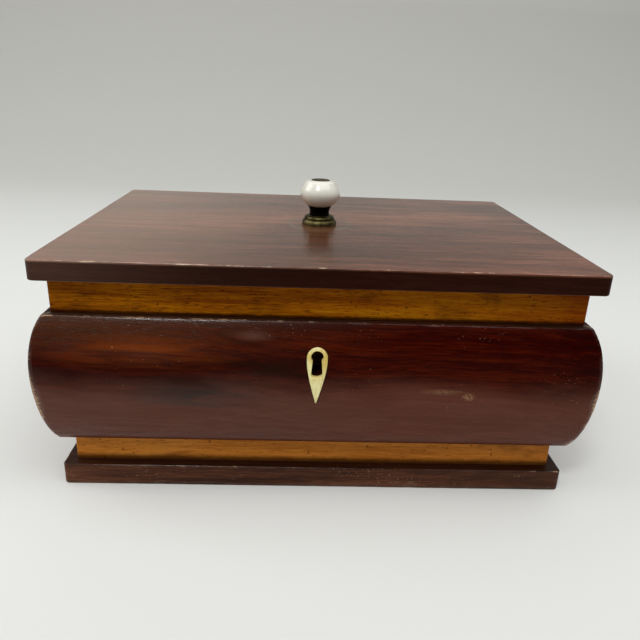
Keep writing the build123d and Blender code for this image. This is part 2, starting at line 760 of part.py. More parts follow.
def knob_foot():
    """Brass foot in two steps."""
    return knob_ring([
        Line((0, 0), (11.3, 0)),
        Line((11.3, 0), (11.3, 0.7)),
        ThreePointArc((11.3, 0.7), (11.0, 2.1), (10.2, 3.2)),
        Line((10.2, 3.2), (9.6, 3.4)),
        ThreePointArc((9.6, 3.4), (9.7, 4.5), (8.8, 5.5)),
        Line((8.8, 5.5), (6.9, KNOB_NECK_BOTTOM)),
        Line((6.9, KNOB_NECK_BOTTOM), (0, KNOB_NECK_BOTTOM)),
        Line((0, KNOB_NECK_BOTTOM), (0, 0)),
    ])


def knob_neck():
    """Blackened collar, slightly waisted, that the ball sits on."""
    return knob_ring([
        Line((0, KNOB_NECK_BOTTOM), (6.7, KNOB_NECK_BOTTOM)),
        ThreePointArc((6.7, KNOB_NECK_BOTTOM), (6.4, 8.8), (7.6, 11.6)),
        Line((7.6, 11.6), (7.6, KNOB_NECK_TOP)),
        Line((7.6, KNOB_NECK_TOP), (0, KNOB_NECK_TOP)),
        Line((0, KNOB_NECK_TOP), (0, KNOB_NECK_BOTTOM)),
    ])


def knob_ball():
    """Porcelain ball, flattened on top, with a shallow recess for the bolt's head."""
    rim = KNOB_CAP_RADIUS + KNOB_CAP_GAP
    shoulder = (rim + 0.5, KNOB_HEIGHT - 0.5)
    return knob_ring([
        Line((0, KNOB_NECK_TOP), (7.3, KNOB_NECK_TOP)),
        Spline(
            (7.3, KNOB_NECK_TOP),
            (11.6, 15.9),
            (KNOB_BALL_RADIUS, 20.6),
            (10.2, 26.6),
            shoulder,
            tangents=((1, 0.5), (-1, 0.2)),
        ),
        ThreePointArc(shoulder, (rim + 0.15, 28.4), (rim, 28.1)),
        Line((rim, 28.1), (rim, KNOB_RECESS_Z)),
        Line((rim, KNOB_RECESS_Z), (0, KNOB_RECESS_Z)),
        Line((0, KNOB_RECESS_Z), (0, KNOB_NECK_TOP)),
    ])


def knob_bolt():
    """Through bolt with a low button head that shows as the cap in the ball's top."""
    tail = RIM_TOP - WASHER_THICKNESS - NUT_HEIGHT - BOLT_TAIL - LID_TOP
    shank = KNOB_BOLT_RADIUS
    cap = KNOB_CAP_RADIUS
    cap_edge = 28.3
    outline = [
        Line((0, tail), (shank - 0.4, tail)),
        Line((shank - 0.4, tail), (shank, tail + 0.4)),
        Line((shank, tail + 0.4), (shank, KNOB_RECESS_Z)),
        Line((shank, KNOB_RECESS_Z), (cap, KNOB_RECESS_Z)),
        Line((cap, KNOB_RECESS_Z), (cap, cap_edge)),
        ThreePointArc((cap, cap_edge), (5.7, 28.7), (5.2, 28.8)),
        ThreePointArc((5.2, 28.8), (2.6, 28.95), (0.5, KNOB_HEIGHT)),
        Line((0.5, KNOB_HEIGHT), (0, KNOB_HEIGHT)),
        Line((0, KNOB_HEIGHT), (0, tail)),
    ]
    return turned(outline, (0, KNOB_Y, LID_TOP))


def knob_fixing():
    """Washer and square nut on the underside of the lid board."""
    nut_top = RIM_TOP - WASHER_THICKNESS
    nut_bottom = nut_top - NUT_HEIGHT
    half = NUT_SIZE / 2
    nut = block(-half, half, KNOB_Y - half, KNOB_Y + half, nut_bottom, nut_top)
    nut = chamfer(nut.edges().filter_by(Axis.Z), NUT_CHAMFER)
    washer = rod(WASHER_RADIUS, (0, KNOB_Y, nut_top), (0, KNOB_Y, RIM_TOP))
    hole = rod(KNOB_BOLT_RADIUS, (0, KNOB_Y, nut_bottom - 1), (0, KNOB_Y, RIM_TOP + 1))
    return {"knob_washer": washer - hole, "knob_nut": nut - hole}


def knob():
    return {
        "knob_foot": knob_foot(),
        "knob_neck": knob_neck(),
        "knob_ball": knob_ball(),
        "knob_bolt": knob_bolt(),
        **knob_fixing(),
    }


def tea_caddy():
    """Every node of the caddy, by name."""
    body = cushion_body()
    parts = {"base_board": base_board(), "lid_board": lid_board()}
    parts["base_screws"] = base_screw_shapes(countersunk_screw(*BASE_SCREW))
    parts["escutcheon"] = escutcheon(body)
    for group in (
        cushions(body),
        carcass_walls(),
        lower_friezes(),
        upper_friezes(),
        inside_fittings(),
        inner_lids(),
        hinges(),
        lock(),
        knob(),
    ):
        parts.update(group)
    return parts


os.makedirs("parts", exist_ok=True)
for node, shape in tea_caddy().items():
    export_step(shape, f"parts/{node}.step")
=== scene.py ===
import math

import bpy
import bmesh
from mathutils import Matrix, Vector, noise


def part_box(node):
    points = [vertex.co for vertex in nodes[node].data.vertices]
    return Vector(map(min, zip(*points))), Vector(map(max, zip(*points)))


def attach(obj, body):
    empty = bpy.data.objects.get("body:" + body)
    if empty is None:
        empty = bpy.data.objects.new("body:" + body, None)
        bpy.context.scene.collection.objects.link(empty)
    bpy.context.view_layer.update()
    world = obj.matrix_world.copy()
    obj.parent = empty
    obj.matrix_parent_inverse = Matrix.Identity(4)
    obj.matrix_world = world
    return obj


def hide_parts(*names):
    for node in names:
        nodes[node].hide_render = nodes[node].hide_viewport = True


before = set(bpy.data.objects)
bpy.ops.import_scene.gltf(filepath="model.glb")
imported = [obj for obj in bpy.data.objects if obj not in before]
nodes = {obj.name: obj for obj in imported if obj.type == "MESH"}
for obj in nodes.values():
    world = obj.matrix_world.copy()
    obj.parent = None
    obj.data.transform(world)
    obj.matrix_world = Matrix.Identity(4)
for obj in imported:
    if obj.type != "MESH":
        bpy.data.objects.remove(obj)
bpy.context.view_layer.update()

MM = 0.001


# Camera, stage and light

CAMERA_PLACE = Vector((-0.0145, -0.410, 0.2212))
CAMERA_YAW = math.radians(2.5)
CAMERA_PITCH = math.radians(20.75)
CAMERA_ROLL = math.radians(2.35)
CAMERA_LENS = 34.9


def srgb(red, green, blue):
    """A colour picked on the 0 to 255 scale, as the linear RGBA that shaders take."""
    linear = [(v / 255) ** 2.2 for v in (red, green, blue)]
    return (*linear, 1.0)


def add_object(name, data):
    item = bpy.data.objects.new(name, data)
    bpy.context.scene.collection.objects.link(item)
    return item


def make_camera():
    data = bpy.data.cameras.new("camera")
    data.lens = CAMERA_LENS
    data.sensor_width = 36.0
    data.clip_start = 0.01
    camera = add_object("camera", data)
    turn = Matrix.Rotation(-CAMERA_YAW, 4, "Z")
    tilt = Matrix.Rotation(math.radians(90) - CAMERA_PITCH, 4, "X")
    roll = Matrix.Rotation(CAMERA_ROLL, 4, "Z")
    camera.matrix_world = Matrix.Translation(CAMERA_PLACE) @ turn @ tilt @ roll
    bpy.context.scene.camera = camera
    bpy.context.scene.view_settings.view_transform = "Standard"


def area_light(name, place, target, size, power, colour=(1, 1, 1)):
    data = bpy.data.lights.new(name, "AREA")
    data.shape = "RECTANGLE"
    data.size, data.size_y = size
    data.energy = power
    data.color = colour
    light = add_object(name, data)
    light.location = place
    light.rotation_euler = (Vector(target) - Vector(place)).to_track_quat("-Z", "Y").to_euler()


def make_stage():
    """A pale floor that sweeps up into a wall behind the object."""
    half_width = 3.0
    front, bend, radius, height = -3.0, 1.0, 0.5, 0.50
    outline = [(front, 0.0), (bend, 0.0)]
    steps = 12
    for i in range(1, steps + 1):
        angle = math.pi / 2 * i / steps
        outline.append((bend + radius * math.sin(angle), radius * (1 - math.cos(angle))))
    outline.append((bend + radius, height))
    mesh = bmesh.new()
    rows = [[mesh.verts.new((x, y, z)) for x in (-half_width, half_width)] for y, z in outline]
    for (a, b), (c, d) in zip(rows, rows[1:]):
        mesh.faces.new((a, b, d, c))
    data = bpy.data.meshes.new("sweep")
    mesh.to_mesh(data)
    mesh.free()
    for face in data.polygons:
        face.use_smooth = True
    sweep = add_object("sweep", data)
    sweep.data.materials.append(stage_material())


def make_world():
    """Soft room light: bright overhead, and a dim room in front of the object."""
    world = bpy.data.worlds.new("room")
    bpy.context.scene.world = world
    world.use_nodes = True
    tree = world.node_tree
    background = tree.nodes["Background"]
    coords = tree.nodes.new("ShaderNodeTexCoord")
    split = tree.nodes.new("ShaderNodeSeparateXYZ")
    tree.links.new(coords.outputs["Generated"], split.inputs[0])
    horizon = tree.nodes.new("ShaderNodeValToRGB")
    horizon.color_ramp.elements[0].position = 0.0
    horizon.color_ramp.elements[0].color = (0.035, 0.03, 0.028, 1)
    horizon.color_ramp.elements[1].position = 0.6
    horizon.color_ramp.elements[1].color = (0.23, 0.23, 0.22, 1)
    turned = tree.nodes.new("ShaderNodeMath")
    turned.operation = "ADD"
    turned.inputs[1].default_value = 0.8
    tree.links.new(split.outputs["Y"], turned.inputs[0])
    tree.links.new(turned.outputs["Value"], horizon.inputs["Fac"])
    rise = tree.nodes.new("ShaderNodeMapRange")
    rise.inputs["From Min"].default_value = 0.35
    rise.inputs["From Max"].default_value = 0.85
    tree.links.new(split.outputs["Z"], rise.inputs["Value"])
    mix = tree.nodes.new("ShaderNodeMix")
    mix.data_type = "RGBA"
    tree.links.new(rise.outputs["Result"], mix.inputs["Factor"])
    tree.links.new(horizon.outputs["Color"], mix.inputs["A"])
    mix.inputs["B"].default_value = (0.62, 0.63, 0.64, 1)
    tree.links.new(mix.outputs["Result"], background.inputs["Color"])


def make_lights():
    """A small lamp in front, a window to the left and a big ceiling light."""
    area_light("lamp", (-0.4, -1.0, 1.4), (0, 0, 0.05), (0.32, 0.32), 6)
    area_light("window", (-1.4, 0.1, 1.2), (0, 0, 0.05), (1.0, 1.0), 7)
    area_light("ceiling", (0.35, -0.45, 1.7), (0.1, 0, 0), (2.4, 1.4), 16)


# Material building blocks

class Nodes:
    """A new material with a Principled shader, and short ways to add nodes to it."""

    def __init__(self, name):
        self.material = bpy.data.materials.new(name)
        self.material.use_nodes = True
        self.tree = self.material.node_tree
        self.tree.nodes.clear()
        output = self.add("ShaderNodeOutputMaterial")
        self.shader = self.add("ShaderNodeBsdfPrincipled")
        self.tree.links.new(self.shader.outputs["BSDF"], output.inputs["Surface"])
        self.place = self.add("ShaderNodeTexCoord").outputs["Object"]

    def add(self, kind, **settings):
        node = self.tree.nodes.new(kind)
        for key, value in settings.items():
            setattr(node, key, value)
        return node

    def put(self, socket, value):
        if isinstance(value, bpy.types.NodeSocket):
            self.tree.links.new(value, socket)
        else:
            socket.default_value = value

    def set(self, **values):
        """Sets or links the shader's sockets, named with underscores."""
        for key, value in values.items():
            self.put(self.shader.inputs[key.replace("_", " ").title().replace("Ior", "IOR")], value)

    def stretched(self, scale, offset=(0, 0, 0)):
        """The object coordinates times a scale per axis."""
        mapping = self.add("ShaderNodeMapping")
        self.put(mapping.inputs["Vector"], self.place)
        mapping.inputs["Scale"].default_value = scale
        mapping.inputs["Location"].default_value = offset
        return mapping.outputs["Vector"]

    def noise(self, vector, scale=1.0, detail=3.0, rough=0.55, distortion=0.0):
        node = self.add("ShaderNodeTexNoise")
        self.put(node.inputs["Vector"], vector)
        node.inputs["Scale"].default_value = scale
        node.inputs["Detail"].default_value = detail
        node.inputs["Roughness"].default_value = rough
        node.inputs["Distortion"].default_value = distortion
        return node.outputs["Fac"]

    def math(self, operation, a, b=0.0):
        node = self.add("ShaderNodeMath", operation=operation)
        self.put(node.inputs[0], a)
        self.put(node.inputs[1], b)
        return node.outputs["Value"]

    def span(self, value, low, high, to_low=0.0, to_high=1.0):
        """The value's range low to high, stretched smoothly to another range."""
        node = self.add("ShaderNodeMapRange", interpolation_type="SMOOTHSTEP")
        self.put(node.inputs["Value"], value)
        self.put(node.inputs["From Min"], low)
        self.put(node.inputs["From Max"], high)
        self.put(node.inputs["To Min"], to_low)
        self.put(node.inputs["To Max"], to_high)
        return node.outputs["Result"]

    def mix(self, fac, a, b):
        node = self.add("ShaderNodeMix", data_type="RGBA")
        self.put(node.inputs["Factor"], fac)
        self.put(node.inputs["A"], a)
        self.put(node.inputs["B"], b)
        return node.outputs["Result"]

    def ramp(self, fac, *stops):
        node = self.add("ShaderNodeValToRGB")
        elements = node.color_ramp.elements
        while len(elements) < len(stops):
            elements.new(0.5)
        for element, (position, colour) in zip(elements, stops):
            element.position = position
            element.color = colour
        self.put(node.inputs["Fac"], fac)
        return node.outputs["Color"]

    def axes(self):
        split = self.add("ShaderNodeSeparateXYZ")
        self.put(split.inputs[0], self.place)
        return split.outputs["X"], split.outputs["Y"], split.outputs["Z"]

    def attribute(self, name):
        return self.add("ShaderNodeAttribute", attribute_name=name).outputs["Fac"]

    def bump(self, height, depth):
        node = self.add("ShaderNodeBump")
        self.put(node.inputs["Height"], height)
        node.inputs["Distance"].default_value = depth
        node.inputs["Strength"].default_value = 1.0
        return node.outputs["Normal"]


def stage_material():
    n = Nodes("stage")
    soft = n.noise(n.stretched((0.6, 0.6, 0.6)), 1.0, 1.0)
    _, y, _ = n.axes()
    # Painted shade: the stage is painted greyer from behind the object up into the wall, and on the
    # floor in front of it, where less light falls; the soft noise is uneven tone.
    paper_and_painted_shade = n.mix(n.span(y, 0.2, 1.3), srgb(230, 231, 227), srgb(212, 212, 205))
    paper_and_painted_shade = n.mix(n.span(y, -0.1, -0.4), paper_and_painted_shade, srgb(212, 213, 208))
    paper_and_painted_shade = n.mix(n.math("MULTIPLY", soft, 0.08), paper_and_painted_shade, srgb(160, 160, 156))
    n.set(base_color=paper_and_painted_shade, roughness=0.75, specular_ior_level=0.25)
    return n.material


def along(axis, with_grain, across):
    """Texture scale for wood whose grain runs along one axis."""
    scale = [across, across, across]
    scale["XYZ".index(axis)] = with_grain
    return tuple(scale)


def wood(name, axis, colours, shift, gloss, figure=1.0, pores=0.5, specular=0.12,
         wave=0.0, extra=None):
    """Polished wood: broad figure, ribbons, fibres and pores along a grain that waves up and down."""
    n = Nodes(name)
    offset = (shift, shift * 1.7, shift * 0.6)
    n.place = waved(n, axis, wave, offset)
    broad = n.noise(n.stretched(along(axis, 5, 16), offset), 1.0, 2.0, 0.5, 1.2)
    ribbon = n.noise(n.stretched(along(axis, 7, 110), offset), 1.0, 3.0, 0.6, 0.6)
    strand = n.noise(n.stretched(along(axis, 16, 420), offset), 1.0, 3.0, 0.65, 0.4)
    fibre = n.noise(n.stretched(along(axis, 60, 1300), offset), 1.0, 3.0, 0.7)
    pore = n.noise(n.stretched(along(axis, 190, 2200), offset), 1.0, 1.0, 0.5)
    tone = 0.5
    for layer, weight in ((broad, 0.55), (ribbon, 0.45), (strand, 0.45), (fibre, 0.55)):
        tone = n.math("ADD", n.math("MULTIPLY", n.math("SUBTRACT", layer, 0.5), weight * figure), tone)
    dark, middle, light = colours
    hole = n.span(pore, 0.58, 0.70)
    n.colour = n.ramp(tone, (0.34, dark), (0.50, middle), (0.66, light))
    n.colour = n.mix(n.math("MULTIPLY", hole, pores), n.colour, shaded(dark, 0.3))
    n.rough = n.math("ADD", gloss, n.math("MULTIPLY", fibre, 0.12))
    n.height = n.math("SUBTRACT", fibre, n.math("MULTIPLY", hole, 0.8))
    n.coat = 0.0
    n.lustre = n.span(strand, 0.35, 0.65, 0.82, 1.14)
    n.place = n.straight
    n.set(specular_ior_level=specular, specular_tint=(1.0, 0.72, 0.52, 1.0))
    if extra is not None:
        extra(n)
    normal = n.bump(n.height, 0.00006)
    n.set(base_color=n.colour, roughness=n.rough, normal=normal)
    n.set(coat_weight=n.coat, coat_roughness=0.13, coat_ior=1.5, coat_normal=normal)
    return n.material


def waved(n, axis, wave, offset):
    """The object coordinates shifted across the grain by a slow wave that runs along it."""
    n.straight = n.place
    if wave == 0.0:
        return n.place
    slow = n.noise(n.stretched(along(axis, 9, 3), offset), 1.0, 1.0, 0.4)
    shift = n.math("MULTIPLY", n.math("SUBTRACT", slow, 0.5), wave)
    parts = n.add("ShaderNodeCombineXYZ")
    x, y, z = n.axes()
    n.put(parts.inputs["X"], n.math("ADD", x, shift) if axis == "Y" else x)
    n.put(parts.inputs["Y"], n.math("ADD", y, shift) if axis == "X" else y)
    n.put(parts.inputs["Z"], n.math("ADD", z, shift))
    return parts.outputs["Vector"]


def shaded(colour, share):
    """A colour brought down to a share of its brightness."""
    return tuple(v * share for v in colour[:3]) + (1,)


def polish(weight):
    """A clear coat of French polish, the same all over."""
    def extra(n):
        n.coat = weight
    return extra


def rub(n, worn, axis, strength=1.0):
    """Bare, rougher wood where the wear attribute says that the polish is rubbed off."""
    grit = n.noise(n.stretched(along(axis, 260, 900)), 1.0, 4.0, 0.75)
    grit = n.math("MULTIPLY", n.math("SUBTRACT", grit, 0.5), 2.2)
    edge = n.attribute("wear")
    spread = n.math("ADD", n.math("MULTIPLY", edge, strength), grit)
    amount = n.math("MULTIPLY", n.span(spread, 0.5, 1.0), n.span(edge, 0.05, 0.3))
    n.coat = n.math("ADD", n.coat, n.span(edge, 0.02, 0.25, 0.0, 0.5))
    n.colour = n.mix(n.math("MULTIPLY", amount, 0.8), n.colour, worn)
    n.rough = n.math("ADD", n.rough, n.math("MULTIPLY", amount, 0.25))


def distance_to(n, x, y):
    """Distance in metres from an upright line."""
    total = 0.0
    for socket, value in zip(n.axes(), (x, y)):
        away = n.math("SUBTRACT", socket, value)
        total = n.math("ADD", n.math("MULTIPLY", away, away), total)
    return n.math("SQRT", total)


def blot(n, x, z, half_x, half_z):
    """A soft oval patch on a front or back face, in mm, 1 in its middle and 0 past its edge."""
    across, _, up = n.axes()
    dx = n.math("DIVIDE", n.math("SUBTRACT", across, x * MM), half_x * MM)
    dz = n.math("DIVIDE", n.math("SUBTRACT", up, z * MM), half_z * MM)
    reach = n.math("SQRT", n.math("ADD", n.math("MULTIPLY", dx, dx), n.math("MULTIPLY", dz, dz)))
    return n.span(reach, 1.0, 0.0)


def flecks(n, amount, density=0.70):
    """Scattered light specks where the polish is chipped."""
    spots = n.noise(n.stretched((820, 820, 900)), 1.0, 1.0, 0.3)
    patch = n.span(n.noise(n.stretched((26, 26, 40)), 1.0, 2.0), 0.52, 0.68)
    fleck = n.math("MULTIPLY", n.span(spots, density, density + 0.05), patch)
    n.colour = n.mix(n.math("MULTIPLY", fleck, amount), n.colour, srgb(168, 132, 100))


def scratches(n, turn, amount, density=0.72):
    """Fine light hairlines over the polish, all roughly one way."""
    mapping = n.add("ShaderNodeMapping")
    n.put(mapping.inputs["Vector"], n.place)
    mapping.inputs["Rotation"].default_value = (0, 0, math.radians(turn))
    mapping.inputs["Scale"].default_value = (18, 1500, 1500)
    line = n.span(n.noise(mapping.outputs["Vector"], 1.0, 2.0, 0.4, 0.3), density, density + 0.05)
    patch = n.span(n.noise(n.stretched((22, 30, 30)), 1.0, 2.0), 0.42, 0.62)
    line = n.math("MULTIPLY", line, patch)
    n.colour = n.mix(n.math("MULTIPLY", line, amount), n.colour, srgb(176, 146, 122))
    n.height = n.math("SUBTRACT", n.height, line)


MAHOGANY = (srgb(32, 6, 2), srgb(50, 9, 2), srgb(78, 25, 7))
LID_TONES = (srgb(60, 36, 22), srgb(96, 56, 38), srgb(140, 86, 64))
BASE_TONES = (srgb(52, 28, 18), srgb(84, 49, 33), srgb(110, 69, 49))
SATIN_DARK = (srgb(116, 58, 3), srgb(162, 96, 6), srgb(206, 138, 20))
SATIN_LIGHT = (srgb(172, 98, 32), srgb(208, 130, 52), srgb(232, 164, 84))
PINE = (srgb(168, 124, 76), srgb(196, 156, 104), srgb(214, 180, 130))
CEDAR = (srgb(118, 66, 40), srgb(146, 88, 56), srgb(170, 110, 76))
INNER_TONES = (srgb(84, 34, 18), srgb(112, 50, 28), srgb(140, 72, 42))

RING_STAIN_RADIUS = 20 * MM
# (x, y) in metres
LID_DENTS = ((-0.103, -0.082), (-0.058, 0.062))
# (x, height above the strip's lower edge) in mm
NAIL_PITS = ((-4.5, 6.0), (30.0, 11.0), (-62.0, 12.5), (104.0, 7.0), (-112.0, 6.5))
# The front moulding's marks as (x, z, half width, half height) in mm
SWIRLS = ((-66, 64, 54, 17), (-22, 80, 36, 8))
FIRE = (-94, 87, 66, 15)
HAZE = (-36, 97, 14, 4)
SMEAR = (67, 68, 17, 2.6)
GRAZE = (81, 65.5, 5, 3.4)


def lid_polish(n):
    """Hazy polish with a faint ring stain round the knob, hairlines and rubbed arrises."""
    knob_x, knob_y = middle_of("knob_foot")[:2]
    from_knob = distance_to(n, knob_x, knob_y)
    away = n.math("ABSOLUTE", n.math("SUBTRACT", from_knob, RING_STAIN_RADIUS))
    patchy = n.noise(n.stretched((90, 90, 90)), 1.0, 2.0)
    ring = n.span(away, 2.6 * MM, 0.6 * MM)
    stain = n.math("MULTIPLY", ring, n.span(patchy, 0.35, 0.6, 0.15, 0.6))
    x, _, z = n.axes()
    stain = n.math("MULTIPLY", stain, n.span(z, middle_of("lid_board").z, high_of("lid_board").z))
    n.colour = n.mix(stain, n.colour, srgb(92, 88, 66))
    scratches(n, 24, 0.5)
    scratches(n, -12, 0.35, 0.70)
    dents = [n.span(distance_to(n, *dent), 1.5 * MM, 0.4 * MM) for dent in LID_DENTS]
    dents = n.math("MAXIMUM", *dents)
    n.colour = n.mix(n.math("MULTIPLY", dents, 0.7), n.colour, srgb(40, 20, 12))
    n.height = n.math("SUBTRACT", n.height, dents)
    # Painted light: the lid is painted paler towards the left, where the lamp and window light fall on
    # it.
    n.colour = n.mix(n.span(x, 20 * MM, -150 * MM, 0.0, 0.42), n.colour, srgb(176, 146, 128))
    flecks(n, 0.35)
    low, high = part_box("lid_board")
    # Painted shade: the lid's upright edge band is painted deep brown-black, a little deeper away from
    # the far left, where less light falls.
    edge = n.span(z, high.z - 0.4 * MM, high.z - 1.6 * MM)
    edge = n.math("MULTIPLY", edge, n.span(z, low.z + 0.1 * MM, low.z + 0.6 * MM, 0.35, 1.0))
    darkened = n.math("MULTIPLY", edge, n.span(x, -150 * MM, -50 * MM, 0.8, 0.94))
    n.colour = n.mix(darkened, n.colour, srgb(34, 11, 4))
    n.coat = n.math("SUBTRACT", 0.72, n.math("MULTIPLY", edge, 0.7))
    rub(n, srgb(190, 160, 130), "X")


def cushion_polish(side):
    """Dark polish, glossiest low down, with rubbed arrises; the front has a flame in its figure."""
    def extra(n):
        x, _, z = n.axes()
        ragged = n.noise(n.stretched((14, 14, 30)), 1.0, 3.0, 0.6)
        level = n.math("ADD", z, n.math("MULTIPLY", n.math("SUBTRACT", ragged, 0.5), 22 * MM))
        low = n.span(level, 80 * MM, 58 * MM)
        # Painted sheen: the lower part of the moulding is painted a lighter brown where it faces the
        # pale floor, over the coat's real reflection there.
        n.colour = n.mix(n.math("MULTIPLY", low, 0.55), n.colour, srgb(108, 54, 30))
        gleam = n.math("MULTIPLY", n.lustre, n.span(x, -60 * MM, 130 * MM, 0.6, 0.44))
        n.coat = n.math("ADD", n.math("MULTIPLY", low, gleam), 0.02)
        if side == "front":
            # Painted sheen: towards the upper left of the front the colour is painted a paler brown as a
            # reflection of the light; the coat is also raised there for real reflection.
            leftward = n.span(x, 60 * MM, -140 * MM)
            upper_left_sheen = n.math("MULTIPLY", leftward, n.span(level, 78 * MM, 100 * MM))
            n.coat = n.math("ADD", n.coat, n.math("MULTIPLY", upper_left_sheen, 0.3))
            n.colour = n.mix(n.math("MULTIPLY", upper_left_sheen, 0.3), n.colour, srgb(110, 74, 52))
            flame(n)
        top = high_of(f"cushion_{side}").z
        ledge = n.span(z, top - 0.5 * MM, top - 0.05 * MM, 0.0, 0.6)
        n.colour = n.mix(ledge, n.colour, srgb(50, 38, 29))
        flecks(n, 0.4, 0.73)
        rub(n, srgb(176, 140, 106), GRAIN[side])
    return extra


def flame(n):
    """Orange streaks that rise to the right, dark swirls, a pale haze, and a graze with a smear."""
    n.place = waved(n, "X", 8 * MM, (2.0, 0, 0))
    mapping = n.add("ShaderNodeMapping")
    n.put(mapping.inputs["Vector"], n.place)
    mapping.inputs["Rotation"].default_value = (0, math.radians(-16), 0)
    mapping.inputs["Scale"].default_value = (14, 60, 150)
    streak = n.noise(mapping.outputs["Vector"], 1.0, 4.0, 0.6, 1.0)
    n.place = n.straight
    swirl = n.math("MAXIMUM", *[blot(n, *place) for place in SWIRLS])
    dark = n.math("MULTIPLY", swirl, n.span(streak, 0.66, 0.38, 0.3, 0.85))
    n.colour = n.mix(dark, n.colour, srgb(36, 22, 15))
    fire = n.math("MULTIPLY", blot(n, *FIRE), n.span(streak, 0.38, 0.68, 0.1, 1.0))
    n.colour = n.mix(n.math("MULTIPLY", fire, 0.72), n.colour, srgb(126, 58, 14))
    haze = n.math("MULTIPLY", blot(n, *HAZE), 0.16)
    n.colour = n.mix(haze, n.colour, srgb(150, 116, 104))
    grit = n.noise(n.stretched((1500, 1500, 2200)), 1.0, 3.0, 0.7)
    smear = n.math("MULTIPLY", blot(n, *SMEAR), n.span(grit, 0.38, 0.66, 0.04, 0.4))
    graze = n.math("MULTIPLY", blot(n, *GRAZE), n.span(grit, 0.46, 0.60, 0.0, 1.0))
    n.colour = n.mix(n.math("MAXIMUM", smear, graze), n.colour, srgb(182, 142, 100))


def grime_and_painted_shade(node, foot_reach, painted_shade_right, pits=()):
    """Soiling and painted shade along a strip's lower and upper edges where it meets the parts above and
    below it, nail pits, and painted shade deepening to the right, away from the light.
    """
    def extra(n):
        low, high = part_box(node)
        x, _, z = n.axes()
        # Painted shade: the strip is painted a deeper orange-brown towards the right, away from the
        # light.
        n.colour = n.mix(n.span(x, -120 * MM, 120 * MM, 0.0, painted_shade_right), n.colour, srgb(112, 42, 2))
        ragged = n.math("MULTIPLY", n.noise(n.stretched((160, 160, 160)), 1.0, 3.0), 1.6 * MM)
        above = n.math("SUBTRACT", z, ragged)
        foot = n.span(above, low.z + foot_reach * MM, low.z)
        head = n.span(n.math("ADD", z, ragged), high.z - 1.2 * MM, high.z + 0.6 * MM)
        # The bands along the lower and upper edges are soiling and painted shade where the strip meets
        # the parts above and below it.
        dirt_and_painted_shade = n.math("MULTIPLY", n.math("MAXIMUM", foot, head), 0.8)
        n.colour = n.mix(dirt_and_painted_shade, n.colour, srgb(34, 15, 5))
        smoke = n.span(n.noise(n.stretched((30, 30, 60), (3.0, 0, 0)), 1.0, 3.0), 0.52, 0.70)
        n.colour = n.mix(n.math("MULTIPLY", smoke, 0.45), n.colour, srgb(70, 32, 6))
        specks = n.span(n.noise(n.stretched((420, 420, 700)), 1.0, 2.0), 0.66, 0.74)
        for pit_x, up in pits:
            specks = n.math("MAXIMUM", specks, blot(n, pit_x, low.z / MM + up, 0.9, 1.6))
        n.colour = n.mix(n.math("MULTIPLY", specks, 0.75), n.colour, srgb(30, 13, 5))
        n.height = n.math("SUBTRACT", n.height, specks)
    return extra


def base_polish(n):
    """Dull plinth, scuffed in places and bare along its lower edge near the corners."""
    n.coat = 0.15
    scuff = n.span(n.noise(n.stretched((60, 60, 120)), 1.0, 4.0, 0.7), 0.60, 0.72)
    n.colour = n.mix(n.math("MULTIPLY", scuff, 0.3), n.colour, srgb(140, 108, 84))
    flecks(n, 0.65, 0.675)
    x, _, z = n.axes()
    # Painted shade: the plinth is painted a deeper brown towards the right, away from the light.
    n.colour = n.mix(n.span(x, 0, 150 * MM, 0.0, 0.4), n.colour, srgb(44, 22, 13))
    # Painted shade with some soiling: the plinth's top face, under the strip and the moulding's
    # overhang, is painted near black.
    top = high_of("base_board").z
    n.colour = n.mix(n.span(z, top - 0.5 * MM, top - 0.1 * MM, 0.0, 0.7), n.colour, srgb(30, 13, 8))
    half = high_of("base_board").x
    corner = n.span(n.math("ABSOLUTE", x), half - 14 * MM, half - 2 * MM)
    rub(n, srgb(172, 136, 98), "X", n.math("ADD", n.math("MULTIPLY", corner, 0.8), 0.75))


def metal(name, colour, dark, rough):
    """Metal with tarnish in patches and fine scratches."""
    n = Nodes(name)
    patches = n.noise(n.stretched((160, 160, 160)), 1.0, 4.0, 0.65)
    fine = n.noise(n.stretched((900, 900, 900)), 1.0, 2.0)
    n.set(base_color=n.mix(n.span(patches, 0.35, 0.65), dark, colour), metallic=1.0)
    n.set(roughness=n.math("ADD", rough, n.math("MULTIPLY", patches, 0.25)))
    n.set(normal=n.bump(fine, 0.00004))
    return n.material


def bone():
    n = Nodes("bone")
    streak = n.noise(n.stretched((700, 700, 120)), 1.0, 3.0)
    cloud = n.noise(n.stretched((140, 140, 90)), 1.0, 2.0)
    tone = n.math("ADD", n.math("MULTIPLY", streak, 0.35), n.math("MULTIPLY", cloud, 0.65))
    n.set(base_color=n.ramp(tone, (0.35, srgb(220, 192, 100)), (0.62, srgb(254, 244, 180))))
    n.set(roughness=0.38, subsurface_weight=0.15, normal=n.bump(streak, 0.00003))
    n.shader.inputs["Subsurface Radius"].default_value = (0.0012, 0.0009, 0.0006)
    n.shader.inputs["Subsurface Scale"].default_value = 1.0
    return n.material


def porcelain():
    n = Nodes("porcelain")
    cloud = n.noise(n.stretched((90, 90, 90)), 1.0, 2.0)
    n.set(base_color=n.mix(cloud, srgb(236, 234, 216), srgb(246, 245, 232)), roughness=0.12)
    n.set(coat_weight=1.0, coat_roughness=0.04)
    return n.material


def foil():
    n = Nodes("tin_foil")
    creases = n.noise(n.stretched((120, 120, 120)), 1.0, 5.0, 0.7, 1.0)
    n.set(base_color=n.mix(creases, srgb(120, 120, 118), srgb(176, 176, 172)), metallic=1.0)
    n.set(roughness=0.45, normal=n.bump(creases, 0.0008))
    return n.material


def middle_of(node):
    low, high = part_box(node)
    return (low + high) / 2


def high_of(node):
    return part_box(node)[1]


# Worn boards and mouldings

STATION_STEP = 1.6 * MM
CREASE_ANGLE = math.radians(35)


